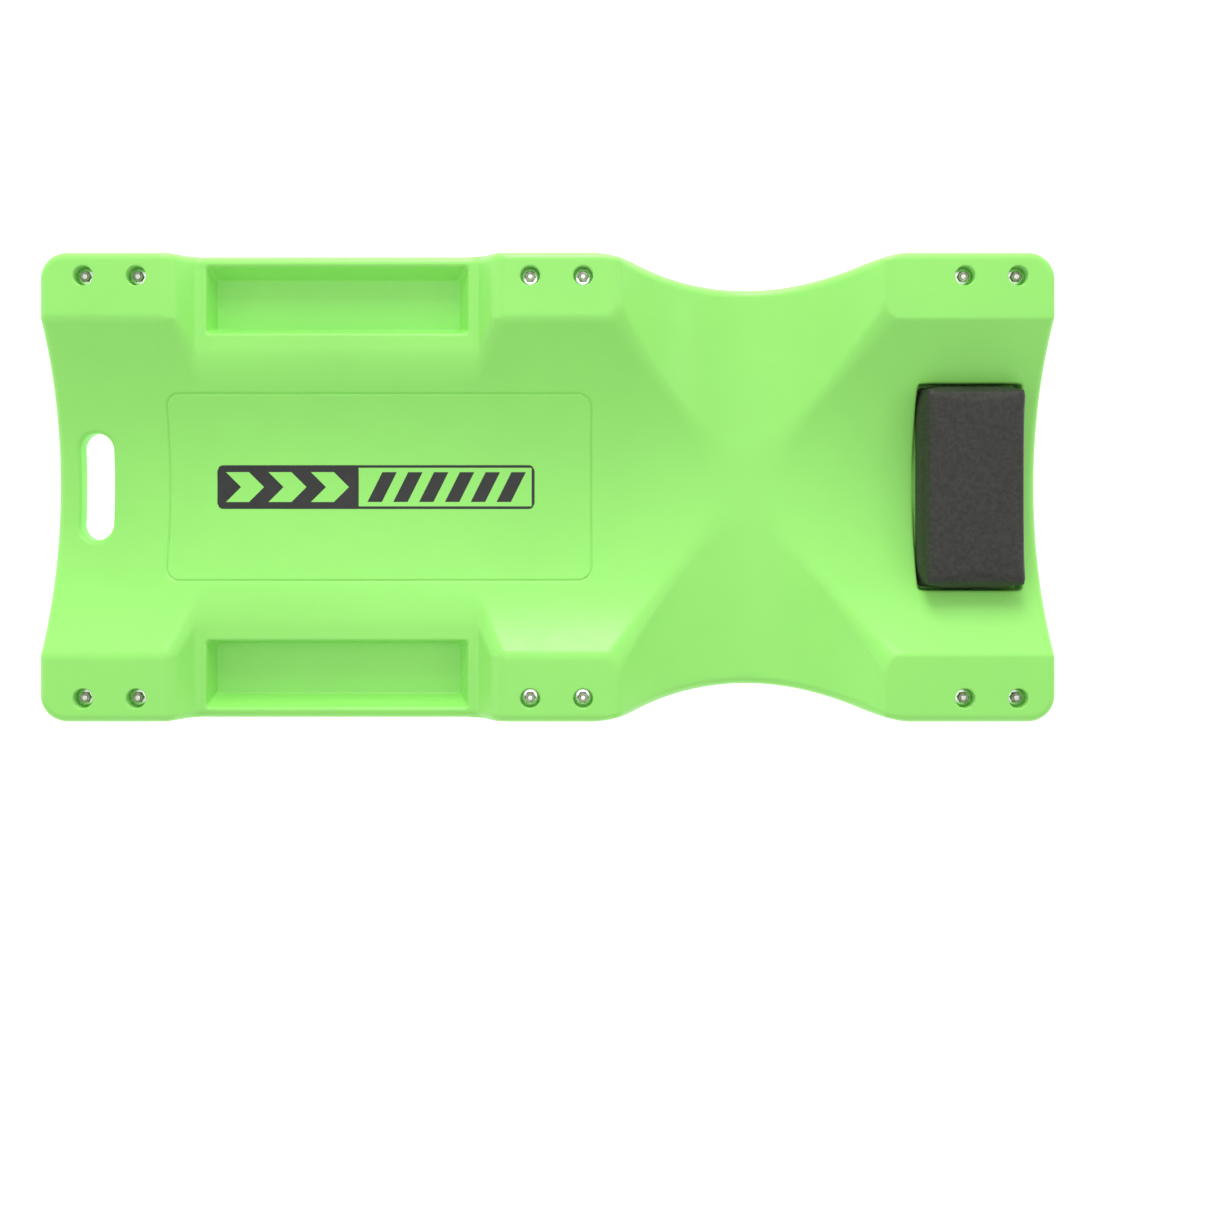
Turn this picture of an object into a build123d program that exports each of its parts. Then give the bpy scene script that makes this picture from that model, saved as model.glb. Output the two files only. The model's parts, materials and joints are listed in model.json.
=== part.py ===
"""Mechanics creeper: a low rolling board on six swivel casters.

Everything is in millimetres. +X runs from the foot end to the head end, +Y is the left side seen from the
foot end, +Z is up. The origin is on the floor under the middle of the board.
"""

import math
import os
from build123d import *

# ---- overall size -------------------------------------------------------------------------------
LENGTH = 1016.0  # 40 in
WIDTH = 470.0  # 18.5 in
HEIGHT = 114.3  # 4.5 in, floor to the top of the six raised pads
HALF_L = LENGTH / 2
HALF_W = WIDTH / 2

# ---- moulded board ------------------------------------------------------------------------------
PANEL_T = 24.0  # outside thickness of the double-walled panel
SKIN_T = 3.0  # plastic wall
CORNER_R = 27.0
PAD_INNER_Y = 167.5  # the body trough starts here
BODY_TROUGH_FOOT_Z = 60.5  # lowest line of the body trough at the foot end
CROSSING_Z = 55.0  # lowest point, where both troughs cross
CROSSING_X = 204.5
SHOULDER_HALF = 132.0  # half the width of the cross trough at pad height
WAIST_Y = 205.0  # half width of the board at its waist
WAIST_HALF = 137.0  # half the length of the waist cut at full board width

# ---- tool trays ---------------------------------------------------------------------------------
TRAY_RIM_Z = 86.5
TRAY_BOTTOM_Z = 43.5  # underside of the tray boxes
TRAY_FLOOR_Z = 62.5
TRAY_LOW_X = (-357.0, -72.0)  # rim level between the two pads
TRAY_HIGH_X = (-377.0, -51.0)  # the same cut at pad height
TRAY_BOX_X = (-356.0, -66.0)
TRAY_BOX_Y = (126.0, HALF_W)
TRAY_ARCH_R = 40.0  # wheel arch between tray box and pad
TRAY_BOX_R = 6.0
TRAY_MOUTH = (-348.0, -80.5, 156.0, 225.0)  # x0, x1, y0, y1 at the rim
TRAY_FLOOR = (-341.5, -91.5, 161.0, 213.5)

# ---- handle slot --------------------------------------------------------------------------------
HANDLE_X = -467.5
HANDLE_W = 34.0
HANDLE_L = 111.0

# ---- headrest -----------------------------------------------------------------------------------
SEAT_Z = 54.0
SEAT = (378.0, 487.5, -107.0, 107.0)
HEAD_BOX = (366.0, 496.0, -117.0, 117.0)
HEAD_BOX_Z = 31.0
REST = (381.0, 484.5, -104.0, 104.0)
REST_TOP_Z = 101.5
COVER_T = 1.2
REST_BOARD_T = 6.0
REST_R = 8.0
REST_SCREWS = [(405.0, -70.0), (405.0, 70.0), (460.0, -70.0), (460.0, 70.0)]
SCREW_R = 2.1
SCREW_HEAD_R = 4.2
SCREW_POCKET_R = 8.0
SCREW_SEAT_Z = 50.0

# ---- casters ------------------------------------------------------------------------------------
CASTER_X = {"foot": -437.0, "mid": 9.0, "head": 443.0}
CASTER_Y = 211.0
CASTERS = {
    f"{row}_{side}": (x, sign * CASTER_Y)
    for row, x in CASTER_X.items()
    for side, sign in (("left", 1), ("right", -1))
}
PLATE_T = 2.0
PLATE_TOP = HEIGHT - PANEL_T
PLATE_BOTTOM = PLATE_TOP - PLATE_T
PLATE_END_R = 6.6
PLATE_MID_R = 22.5
STUD_PITCH = 53.0
STUD_R = 3.0
NUT_SEAT_Z = 101.0
NUT_H = 6.0
NUT_AF = 10.0
NUT_FLANGE_R = 7.6
NUT_FLANGE_T = 1.2
NUT_FLANGE_RISE = 0.4  # the flange slopes up this much to the hexagon
NUT_POCKET_R = 9.7
STUD_TOP_Z = 108.4

DISH_R = 17.5  # pressed-down race in the top plate
DISH_FLAT_R = 15.5
DISH_LEAN = 1.4  # the dish's inner slope stands this far inside its outer one
DISH_BOTTOM = 85.3
CROWN_TOP = 82.3
CROWN_R = 17.6
BALL_R = 2.0
BALL_RING_R = 12.6
BALL_COUNT = 14
BALL_GAP = 0.08
KINGPIN_R = 4.0
KINGPIN_HEAD_R = 7.0
KINGPIN_FLANGE_T = 2.2
RUNNING = 0.06  # radial clearance of each running fit

TRAIL = 22.0  # wheel axle behind the kingpin
WHEEL_R = 37.5
AXLE_Z = WHEEL_R
TYRE_W = 23.0
TYRE_INNER_R = 28.7
WHEEL_RIM_W = 22.0
WHEEL_DISH_R = 23.0
WHEEL_WEB_W = 12.0
HUB_R = 9.5
HUB_W = 26.4
FORK_T = 2.0
LEG_GAP = 27.0  # between the legs at the axle
LEG_TIP_R = 7.2
LEG_JOG_X = (3.0, 8.0)  # the leg steps in from the crown's round to the axle's flat
FORK_BACK_Z = 76.0  # lower edge of the skirt behind the kingpin
FORK_FRONT_X = 25.5
SLEEVE_R = 4.5
AXLE_R = 3.0
AXLE_HEAD_R = 4.6
AXLE_HEAD_T = 1.8
AXLE_DIMPLE_R = 1.6

# ---- printed decal ------------------------------------------------------------------------------
DECAL_X = (-343.0, -14.0)
DECAL_HALF_Y = 23.0
DECAL_T = 0.2
DECAL_R = 6.0
GROOVE_X = (-392.0, 45.0)  # groove that frames the decal
GROOVE_HALF_Y = 96.0
GROOVE_R = 14.0
GROOVE_W = 1.6
GROOVE_DEPTH = 0.8


def span_box(x0, x1, y0, y1, z0, z1):
    """A box between two corners."""
    return Pos((x0 + x1) / 2, (y0 + y1) / 2, (z0 + z1) / 2) * Box(x1 - x0, y1 - y0, z1 - z0)


def post(x, y, z0, z1, radius):
    """A vertical cylinder from z0 to z1."""
    return Pos(x, y, (z0 + z1) / 2) * Cylinder(radius, z1 - z0)


def three_point_radius(half_chord, sag):
    """Radius of the arc with that half chord and depth."""
    return (half_chord**2 + sag**2) / (2 * sag)


# ---- board --------------------------------------------------------------------------------------
def board_outline(inset):
    """Plan of the board: a rectangle with round corners and two waist cuts."""
    plan = RectangleRounded(LENGTH - 2 * inset, WIDTH - 2 * inset, CORNER_R - inset)
    waist_r = three_point_radius(WAIST_HALF, HALF_W - WAIST_Y)
    for side in (1, -1):
        centre_y = side * (WAIST_Y + waist_r)
        plan -= Pos(CROSSING_X, centre_y) * Circle(waist_r + inset)
    return extrude(plan, amount=HEIGHT + 60)


def trough_section(x, lowest_z, offset):
    """The body trough's section at x, moved outwards by offset, as a face in the YZ plane."""
    radius = three_point_radius(PAD_INNER_Y, HEIGHT - lowest_z)
    plane = Plane(origin=(x, 0, lowest_z + radius), x_dir=(0, 1, 0), z_dir=(1, 0, 0))
    return plane * Circle(radius + offset)


def body_trough(offset):
    """The long trough for the back and head. It slopes a little from the foot end to the crossing."""
    foot = trough_section(-HALF_L - 60, BODY_TROUGH_FOOT_Z, offset)
    middle = trough_section(CROSSING_X, CROSSING_Z, offset)
    head = extrude(middle, amount=HALF_L + 60 - CROSSING_X)
    return loft([foot, middle], ruled=True) + head


def shoulder_trough(offset):
    """The cross trough for the shoulders, a cylinder along Y."""
    radius = three_point_radius(SHOULDER_HALF, HEIGHT - CROSSING_Z)
    return Pos(CROSSING_X, 0, CROSSING_Z + radius) * Rot(90, 0, 0) * Cylinder(radius + offset, WIDTH + 200)


def tray_box(inset):
    """Underside of one tray with its two wheel arches, on the +Y side."""
    x0, x1 = TRAY_BOX_X[0] + inset, TRAY_BOX_X[1] - inset
    top = PLATE_TOP + inset
    arch = TRAY_ARCH_R + inset
    corner = TRAY_BOX_R - inset
    low = TRAY_BOTTOM_Z + inset
    profile = make_face(
        [
            Line((x0 - arch, top), (x0 - arch, top + 2)),
            Line((x0 - arch, top + 2), (x1 + arch, top + 2)),
            Line((x1 + arch, top + 2), (x1 + arch, top)),
            RadiusArc((x1 + arch, top), (x1, top - arch), -arch),
            Line((x1, top - arch), (x1, low + corner)),
            RadiusArc((x1, low + corner), (x1 - corner, low), corner),
            Line((x1 - corner, low), (x0 + corner, low)),
            RadiusArc((x0 + corner, low), (x0, low + corner), corner),
            Line((x0, low + corner), (x0, top - arch)),
            RadiusArc((x0, top - arch), (x0 - arch, top), -arch),
        ]
    )
    y0, y1 = TRAY_BOX_Y[0] + inset, TRAY_BOX_Y[1]
    solid = extrude(Plane.XZ * profile, amount=-(y1 - y0))
    return Pos(0, y0, 0) * solid


def tray_cut(inset):
    """Space above one tray rim, between the foot pad and the middle pad."""
    low = TRAY_RIM_Z - inset
    points = [
        (TRAY_LOW_X[0] - inset, low),
        (TRAY_LOW_X[1] + inset, low),
        (TRAY_HIGH_X[1] + inset, HEIGHT + 1),
        (TRAY_HIGH_X[0] - inset, HEIGHT + 1),
    ]
    profile = make_face(Polyline(*points, close=True))
    solid = extrude(Plane.XZ * profile, amount=-(HALF_W - 90))
    return Pos(0, 100 - inset, 0) * solid


def tray_pocket(inset):
    """The pocket for small tools, wider at its mouth."""
    mouth_x0, mouth_x1, mouth_y0, mouth_y1 = TRAY_MOUTH
    floor_x0, floor_x1, floor_y0, floor_y1 = TRAY_FLOOR

    def rounded(x0, x1, y0, y1, z, radius):
        centre = Pos((x0 + x1) / 2, (y0 + y1) / 2, z)
        return centre * RectangleRounded(x1 - x0 + 2 * inset, y1 - y0 + 2 * inset, radius + inset)

    low = rounded(floor_x0, floor_x1, floor_y0, floor_y1, TRAY_FLOOR_Z - inset, 4)
    high = rounded(mouth_x0, mouth_x1, mouth_y0, mouth_y1, TRAY_RIM_Z + 0.01, 6)
    return loft([low, high], ruled=True)


def both_sides(solid):
    """The solid and its mirror image across the XZ plane."""
    return [solid, mirror(solid, about=Plane.XZ)]


def head_box(inset):
    """Flat-bottomed well under the headrest."""
    x0, x1, y0, y1 = HEAD_BOX
    low = HEAD_BOX_Z + inset
    slope = 14.0
    bottom = Pos((x0 + x1) / 2, 0, low) * Rectangle(x1 - x0 - 2 * inset, y1 - y0 - 2 * inset)
    top = Pos((x0 + x1) / 2 - slope / 2, 0, CROSSING_Z + 4) * Rectangle(
        x1 - x0 + slope - 2 * inset, y1 - y0 - 2 * inset
    )
    return loft([bottom, top], ruled=True)


def stud_points():
    """The twelve places where a caster stud comes up through the board."""
    return [(x + dx, y) for x, y in CASTERS.values() for dx in (-STUD_PITCH / 2, STUD_PITCH / 2)]


def handle_slot(inset):
    """The hand hole near the foot end, right through the board."""
    slot = SlotOverall(HANDLE_L + 2 * inset, HANDLE_W + 2 * inset, rotation=90)
    return Pos(HANDLE_X, 0, 0) * extrude(slot, amount=HEIGHT)


def board_solid(inset):
    """The board with every face moved inwards by inset: 0 gives the outside, SKIN_T the hollow."""
    below = span_box(-HALF_L, HALF_L, -HALF_W, HALF_W, PLATE_TOP + inset, HEIGHT + 50)
    below += [body_trough(PANEL_T - inset), shoulder_trough(PANEL_T - inset)]
    below += both_sides(tray_box(inset))
    below += head_box(inset)
    solid = below & board_outline(inset)
    solid -= span_box(-HALF_L, HALF_L, -HALF_W, HALF_W, HEIGHT - inset, HEIGHT + 300)
    solid -= [body_trough(inset), shoulder_trough(inset)]
    solid -= both_sides(tray_cut(inset)) + both_sides(tray_pocket(inset))
    seat_x0, seat_x1, seat_y0, seat_y1 = SEAT
    solid -= span_box(
        seat_x0 - inset, seat_x1 + inset, seat_y0 - inset, seat_y1 + inset, SEAT_Z - inset, HEIGHT
    )
    solid -= handle_slot(inset)
    solid -= [post(x, y, 0, SCREW_SEAT_Z + inset, SCREW_POCKET_R + inset) for x, y in REST_SCREWS]
    return solid


def frame_groove():
    """Shallow groove that frames the middle of the body trough."""
    x0, x1 = GROOVE_X
    centre = Pos((x0 + x1) / 2, 0, 0)
    outer = centre * RectangleRounded(x1 - x0, 2 * GROOVE_HALF_Y, GROOVE_R)
    inner = centre * RectangleRounded(
        x1 - x0 - 2 * GROOVE_W, 2 * (GROOVE_HALF_Y - GROOVE_W), GROOVE_R - GROOVE_W
    )
    return extrude(outer - inner, amount=HEIGHT) & body_trough(GROOVE_DEPTH)


def deck_shell():
    """The blow-moulded board: one hollow piece with its stud and screw holes."""
    bosses = [post(x, y, 0, HEIGHT, NUT_POCKET_R + SKIN_T) for x, y in stud_points()]
    hollow = board_solid(SKIN_T) - bosses
    shell = board_solid(0) - hollow - frame_groove()
    for x, y in stud_points():
        shell -= post(x, y, NUT_SEAT_Z, HEIGHT, NUT_POCKET_R)
        shell -= post(x, y, PLATE_TOP - 1, HEIGHT, STUD_R + 0.4)
    for x, y in REST_SCREWS:
        shell -= post(x, y, SCREW_SEAT_Z - 1, SEAT_Z + 1, SCREW_R + 0.2)
    return shell


def body_decal():
    """Printed film on the body trough."""
    x0, x1 = DECAL_X
    film = Pos((x0 + x1) / 2, 0, 0) * RectangleRounded(x1 - x0, 2 * DECAL_HALF_Y, DECAL_R)
    return extrude(film, amount=HEIGHT) & (body_trough(0) - body_trough(-DECAL_T))


# ---- fasteners through the board ----------------------------------------------------------------
def caster_stud(x, y):
    """A stud clinched flush into the caster plate, with a domed end."""
    stud = post(x, y, PLATE_BOTTOM, STUD_TOP_Z, STUD_R)
    return fillet(stud.edges().sort_by(Axis.Z)[-1], 1.4)


def stud_nut(x, y):
    """A hexagon nut with its own flange."""
    flange = post(x, y, NUT_SEAT_Z, NUT_SEAT_Z + NUT_FLANGE_T, NUT_FLANGE_R)
    slope_z = NUT_SEAT_Z + NUT_FLANGE_T + NUT_FLANGE_RISE / 2
    flange += Pos(x, y, slope_z) * Cone(NUT_FLANGE_R, NUT_AF / 2, NUT_FLANGE_RISE)
    hexagon = extrude(RegularPolygon(NUT_AF / 2, 6, major_radius=False), amount=NUT_H)
    crown = Cone(NUT_AF / 2 + 3.2, NUT_AF / 2 - 0.4, 3.6, align=(Align.CENTER, Align.CENTER, Align.MIN))
    chamfered = hexagon & (Pos(0, 0, NUT_H - 3.6) * crown + Cylinder(NUT_AF, 2 * (NUT_H - 3.5)))
    nut = Pos(x, y, NUT_SEAT_Z) * chamfered + flange
    return nut - post(x, y, NUT_SEAT_Z - 1, STUD_TOP_Z + 1, STUD_R)


# ---- headrest -----------------------------------------------------------------------------------
def rest_block(inset, z0, z1, radius):
    """A rounded block inside the headrest's outline."""
    x0, x1, y0, y1 = REST
    block = span_box(x0 + inset, x1 - inset, y0 + inset, y1 - inset, z0, z1)
    upright = block.edges().filter_by(Axis.Z)
    return fillet(upright, radius)


def board_levels():
    """Underside and top of the headrest's board."""
    return SEAT_Z + COVER_T, SEAT_Z + COVER_T + REST_BOARD_T


def headrest_cover():
    """Vinyl cover, pulled round the foam and folded under the board."""
    outer = rest_block(0, SEAT_Z, REST_TOP_Z, REST_R)
    outer = fillet(outer.faces().sort_by(Axis.Z)[-1].edges(), REST_R - 1.5)
    inner = headrest_foam() + rest_block(COVER_T, *board_levels(), REST_R - COVER_T)
    window = rest_block(18, SEAT_Z - 1, SEAT_Z + 2 * COVER_T, REST_R)
    return outer - inner - window


def headrest_foam():
    """Foam block on the board."""
    foam = rest_block(COVER_T, SEAT_Z + COVER_T + REST_BOARD_T, REST_TOP_Z - COVER_T, REST_R - COVER_T)
    return fillet(foam.faces().sort_by(Axis.Z)[-1].edges(), REST_R - 1.5 - COVER_T)


def headrest_board():
    """Stiff board that the screws bite into."""
    board = rest_block(COVER_T, *board_levels(), REST_R - COVER_T)
    return board - [post(x, y, SEAT_Z, SEAT_Z + REST_BOARD_T, SCREW_R) for x, y in REST_SCREWS]


def headrest_screw(x, y):
    """A pan-head screw that comes up from under the board."""
    shank = post(x, y, SCREW_SEAT_Z, SEAT_Z + REST_BOARD_T - 0.5, SCREW_R)
    head = post(x, y, SCREW_SEAT_Z - 2.6, SCREW_SEAT_Z, SCREW_HEAD_R)
    head = fillet(head.edges().sort_by(Axis.Z)[0], 1.6)
    slot_long = Pos(x, y, SCREW_SEAT_Z - 2.2) * Box(4.4, 0.9, 1.6)
    slot_cross = Pos(x, y, SCREW_SEAT_Z - 2.2) * Box(0.9, 4.4, 1.6)
    return shank + head - slot_long - slot_cross


# ---- caster pieces, with the kingpin on the Z axis and the wheel behind it at +X -------------------
def ring_of_balls(radius):
    """The ball race's balls, or their seats."""
    ball = Pos(BALL_RING_R, 0, (DISH_BOTTOM + CROWN_TOP) / 2) * Sphere(radius)
    return [Rot(0, 0, 360 * i / BALL_COUNT) * ball for i in range(BALL_COUNT)]


def race_groove():
    """The groove that the balls run in, cut into both the plate and the crown."""
    return Pos(0, 0, (DISH_BOTTOM + CROWN_TOP) / 2) * Torus(BALL_RING_R, BALL_R + BALL_GAP)


def turned(points):
    """A solid of revolution about Z from points (radius, z)."""
    return revolve(make_face(Polyline(*[(r, 0, z) for r, z in points], close=True)), Axis.Z)


def plate_outline():
    """Plan of the top plate: a round middle drawn out to two round ends."""
    lean = math.acos((PLATE_MID_R - PLATE_END_R) / (STUD_PITCH / 2))
    c, s = math.cos(lean), math.sin(lean)
    quarter = [
        (PLATE_MID_R * c, PLATE_MID_R * s),
        (STUD_PITCH / 2 + PLATE_END_R * c, PLATE_END_R * s),
    ]
    right = quarter + [(x, -y) for x, y in reversed(quarter)]
    left = [(-x, -y) for x, y in right]
    plan = Circle(PLATE_MID_R) + make_face(Polyline(*right, *left, close=True))
    ends = [Pos(side * STUD_PITCH / 2, 0) * Circle(PLATE_END_R) for side in (1, -1)]
    return plan + ends


def caster_plate():
    """Top plate with its pressed-down race, drilled for the studs and the kingpin."""
    plate = Pos(0, 0, PLATE_BOTTOM) * extrude(plate_outline(), amount=PLATE_T)
    slope = [(DISH_R, PLATE_BOTTOM), (DISH_FLAT_R, DISH_BOTTOM)]
    plate += turned([(0, PLATE_TOP), (DISH_R, PLATE_TOP), *slope, (0, DISH_BOTTOM)])
    mouth_r = DISH_R - DISH_LEAN
    inner_slope = [(r - DISH_LEAN, z + PLATE_T) for r, z in slope]
    plate -= turned([(0, PLATE_TOP + 1), (mouth_r, PLATE_TOP + 1), *inner_slope, (0, DISH_BOTTOM + PLATE_T)])
    plate -= race_groove()
    plate -= post(0, 0, DISH_BOTTOM - 1, PLATE_TOP + 1, KINGPIN_R)
    return plate - [post(side * STUD_PITCH / 2, 0, 80, 95, STUD_R) for side in (1, -1)]


def caster_kingpin():
    """Rivet that holds the fork up against the balls."""
    dish_floor = DISH_BOTTOM + PLATE_T
    crown_bottom = CROWN_TOP - FORK_T
    flange_top = crown_bottom - 0.15
    pin = post(0, 0, flange_top, dish_floor, KINGPIN_R)
    top = post(0, 0, dish_floor, dish_floor + 2.0, KINGPIN_HEAD_R - 0.6)
    top = fillet(top.edges().sort_by(Axis.Z)[-1], 1.2)
    flange = post(0, 0, flange_top - KINGPIN_FLANGE_T, flange_top, KINGPIN_HEAD_R)
    flange = fillet(flange.edges().sort_by(Axis.Z)[0], 1.4)
    return pin + top + flange


def fork_plan(inset):
    """Plan of the fork's outside: round behind the kingpin, stepping in to the flat legs."""
    round_back = CROWN_R - inset
    flat = LEG_GAP / 2 + FORK_T - inset
    side = [
        (0, round_back),
        (LEG_JOG_X[0], round_back),
        (LEG_JOG_X[1], flat),
        (TRAIL + 2 * LEG_TIP_R, flat),
    ]
    outline = side + [(x, -y) for x, y in reversed(side)]
    return Circle(round_back) + make_face(Polyline(*outline, close=True))


def fork_side():
    """Side view of the fork: a skirt behind, a raked back edge, a round tip at the axle."""
    top = CROWN_TOP + 1
    back = -CROWN_R - 1
    tip = Pos(TRAIL, AXLE_Z) * Circle(LEG_TIP_R)
    dx, dz = TRAIL - back, FORK_BACK_Z - AXLE_Z
    reach = math.hypot(dx, dz)
    lean = math.atan2(dz, -dx) + math.acos(LEG_TIP_R / reach)
    behind = (TRAIL + LEG_TIP_R * math.cos(lean), AXLE_Z + LEG_TIP_R * math.sin(lean))
    rake = math.atan2(TRAIL + LEG_TIP_R - FORK_FRONT_X, CROWN_TOP - AXLE_Z)
    front = (TRAIL + LEG_TIP_R * math.cos(rake), AXLE_Z + LEG_TIP_R * math.sin(rake))
    rear = [(back, top), (back, FORK_BACK_Z), behind]
    ahead = [(TRAIL, AXLE_Z), front, (FORK_FRONT_X, CROWN_TOP), (FORK_FRONT_X, top)]
    return tip + make_face(Polyline(*rear, *ahead, close=True))


def caster_fork():
    """Pressed-steel fork with its ball race, kingpin hole and axle holes."""
    low = AXLE_Z - LEG_TIP_R - 1
    crown_bottom = CROWN_TOP - FORK_T
    outside = Pos(0, 0, low) * extrude(fork_plan(0), amount=CROWN_TOP - low)
    outside = fillet(outside.faces().sort_by(Axis.Z)[-1].edges(), 2.0)
    inside = Pos(0, 0, low - 1) * extrude(fork_plan(FORK_T), amount=crown_bottom - low + 1)
    profile = Plane.XZ * fork_side()
    fork = (outside - inside) & extrude(profile, amount=2 * CROWN_R, both=True)
    fork -= race_groove()
    fork -= post(0, 0, crown_bottom - 1, CROWN_TOP + 1, KINGPIN_R + RUNNING)
    return fork - Pos(TRAIL, 0, AXLE_Z) * Rot(90, 0, 0) * Cylinder(AXLE_R, 3 * CROWN_R)


def on_axle(solid):
    """Turns a solid made about Z into one about the wheel axle."""
    return Pos(TRAIL, 0, AXLE_Z) * Rot(90, 0, 0) * solid


def caster_axle():
    """Rivet through the fork, with a dimpled head on each side."""
    half = LEG_GAP / 2 + FORK_T
    axle = Cylinder(AXLE_R, 2 * half)
    for side in (0, 180):
        head = Pos(0, 0, half + AXLE_HEAD_T / 2) * Cylinder(AXLE_HEAD_R, AXLE_HEAD_T)
        head = fillet(head.edges().sort_by(Axis.Z)[-1], 0.9)
        head -= Pos(0, 0, half + AXLE_HEAD_T) * Cylinder(AXLE_DIMPLE_R, 1.6)
        axle += Rot(side, 0, 0) * head
    return on_axle(axle)


def caster_sleeve():
    """Steel sleeve, clamped between the legs, that the wheel turns on."""
    return on_axle(Cylinder(SLEEVE_R, LEG_GAP) - Cylinder(AXLE_R, LEG_GAP))


def caster_wheel():
    """Moulded wheel centre: hub, thin web and rim."""
    rim, web, hub = WHEEL_RIM_W / 2, WHEEL_WEB_W / 2, HUB_W / 2
    bore = SLEEVE_R + RUNNING
    side = [
        (bore, hub),
        (HUB_R - 1.0, hub),
        (HUB_R, hub - 1.0),
        (HUB_R + 1.5, web),
        (WHEEL_DISH_R - 5.5, web),
        (WHEEL_DISH_R - 4.5, web + 1.2),
        (WHEEL_DISH_R - 1.5, web + 1.2),
        (WHEEL_DISH_R, rim),
        (TYRE_INNER_R, rim),
    ]
    return on_axle(turned(side + [(r, -z) for r, z in reversed(side)]))


def caster_tyre():
    """Hard tread ring on the rim, with rounded shoulders."""
    half = TYRE_W / 2
    tyre = Cylinder(WHEEL_R, TYRE_W)
    tyre = fillet(tyre.edges().filter_by(GeomType.CIRCLE), 3.0)
    return on_axle(tyre - Cylinder(TYRE_INNER_R, 2 * half))


CASTER_PIECES = {
    "plate": caster_plate,
    "kingpin": caster_kingpin,
    "balls": lambda: ring_of_balls(BALL_R),
    "fork": caster_fork,
    "axle": caster_axle,
    "sleeve": caster_sleeve,
    "wheel": caster_wheel,
    "tyre": caster_tyre,
}


def make_nodes():
    """Every node of the part, by name."""
    nodes = {
        "deck_shell": deck_shell(),
        "body_decal": body_decal(),
        "headrest_cover": headrest_cover(),
        "headrest_foam": headrest_foam(),
        "headrest_board": headrest_board(),
        "headrest_screws": [headrest_screw(x, y) for x, y in REST_SCREWS],
        "caster_studs": [caster_stud(x, y) for x, y in stud_points()],
        "stud_nuts": [stud_nut(x, y) for x, y in stud_points()],
    }
    for piece, make in CASTER_PIECES.items():
        made = make()
        solids = made if isinstance(made, list) else [made]
        for place, (x, y) in CASTERS.items():
            nodes[f"caster_{place}_{piece}"] = [Pos(x, y, 0) * solid for solid in solids]
    return nodes


def write_nodes():
    """One STEP file per node."""
    os.makedirs("parts", exist_ok=True)
    for name, shape in make_nodes().items():
        solids = shape if isinstance(shape, list) else [shape]
        bodies = [body for solid in solids for body in solid.solids()]
        export_step(bodies[0] if len(bodies) == 1 else Compound(children=bodies), f"parts/{name}.step")


write_nodes()
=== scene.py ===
"""Looks of the mechanics creeper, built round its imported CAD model. Every size is in metres."""

import json
import math

import bmesh
import bpy
import numpy as np
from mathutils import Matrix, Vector
from mathutils.bvhtree import BVHTree


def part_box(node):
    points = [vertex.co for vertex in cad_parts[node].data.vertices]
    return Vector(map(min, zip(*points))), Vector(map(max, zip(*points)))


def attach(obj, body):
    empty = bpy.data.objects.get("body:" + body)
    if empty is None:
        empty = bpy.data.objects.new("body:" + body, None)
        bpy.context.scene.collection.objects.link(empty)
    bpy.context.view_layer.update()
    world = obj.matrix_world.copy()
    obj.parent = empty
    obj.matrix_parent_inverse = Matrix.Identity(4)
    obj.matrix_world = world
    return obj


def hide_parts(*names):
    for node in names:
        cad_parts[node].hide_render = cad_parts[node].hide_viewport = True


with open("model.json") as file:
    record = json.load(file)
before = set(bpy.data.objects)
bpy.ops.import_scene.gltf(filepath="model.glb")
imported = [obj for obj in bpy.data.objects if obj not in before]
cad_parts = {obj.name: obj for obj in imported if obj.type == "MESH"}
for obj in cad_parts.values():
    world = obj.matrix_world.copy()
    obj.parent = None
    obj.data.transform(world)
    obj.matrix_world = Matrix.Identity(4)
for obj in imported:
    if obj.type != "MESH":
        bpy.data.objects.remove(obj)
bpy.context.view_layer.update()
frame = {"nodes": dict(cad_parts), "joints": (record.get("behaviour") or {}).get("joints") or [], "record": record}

# ---- sizes from the frame -----------------------------------------------------------------------
BOARD_LOW, BOARD_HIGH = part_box("deck_shell")
REST_LOW, REST_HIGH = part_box("headrest_cover")
BOARD_BOTTOM = BOARD_LOW[2]
TOP_Z = BOARD_HIGH[2]
HALF_L = BOARD_HIGH[0]
HALF_W = BOARD_HIGH[1]
PLATE_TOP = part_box("caster_mid_left_plate")[1][2]
NUT_SEAT_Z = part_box("stud_nuts")[0][2]
KINGPINS = [
    (joint["pos_m"][0], joint["pos_m"][1])
    for joint in frame["joints"]
    if joint["name"].endswith("swivel_turn")
]

# ---- driving sizes of the moulded board, as in the CAD source ------------------------------------
PANEL_T = 0.024
CORNER_R = 0.027
PAD_INNER_Y = 0.1675
BODY_TROUGH_FOOT_Z = 0.0605
CROSSING_Z = 0.055
CROSSING_X = 0.2045
SHOULDER_HALF = 0.132
WAIST_Y = 0.205
WAIST_HALF = 0.137
TRAY_RIM_Z = 0.0865
TRAY_BOTTOM_Z = 0.0435
TRAY_FLOOR_Z = 0.0625
TRAY_LOW_X = (-0.357, -0.072)
TRAY_HIGH_X = (-0.377, -0.051)
TRAY_BOX_X = (-0.356, -0.066)
TRAY_BOX_Y = 0.126
TRAY_ARCH_R = 0.040
TRAY_MOUTH = (-0.348, -0.0805, 0.156, 0.225)
TRAY_FLOOR = (-0.3415, -0.0915, 0.161, 0.2135)
HANDLE_X = -0.4675
HANDLE_HALF_W = 0.017
HANDLE_HALF_L = 0.0555
SEAT_Z = REST_LOW[2]
SEAT = (0.3795, 0.4865, 0.1060)
HEAD_BOX = (0.366, 0.496, 0.117)
STUD_HALF_PITCH = 0.0265
NUT_POCKET_R = 0.0097
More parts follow.
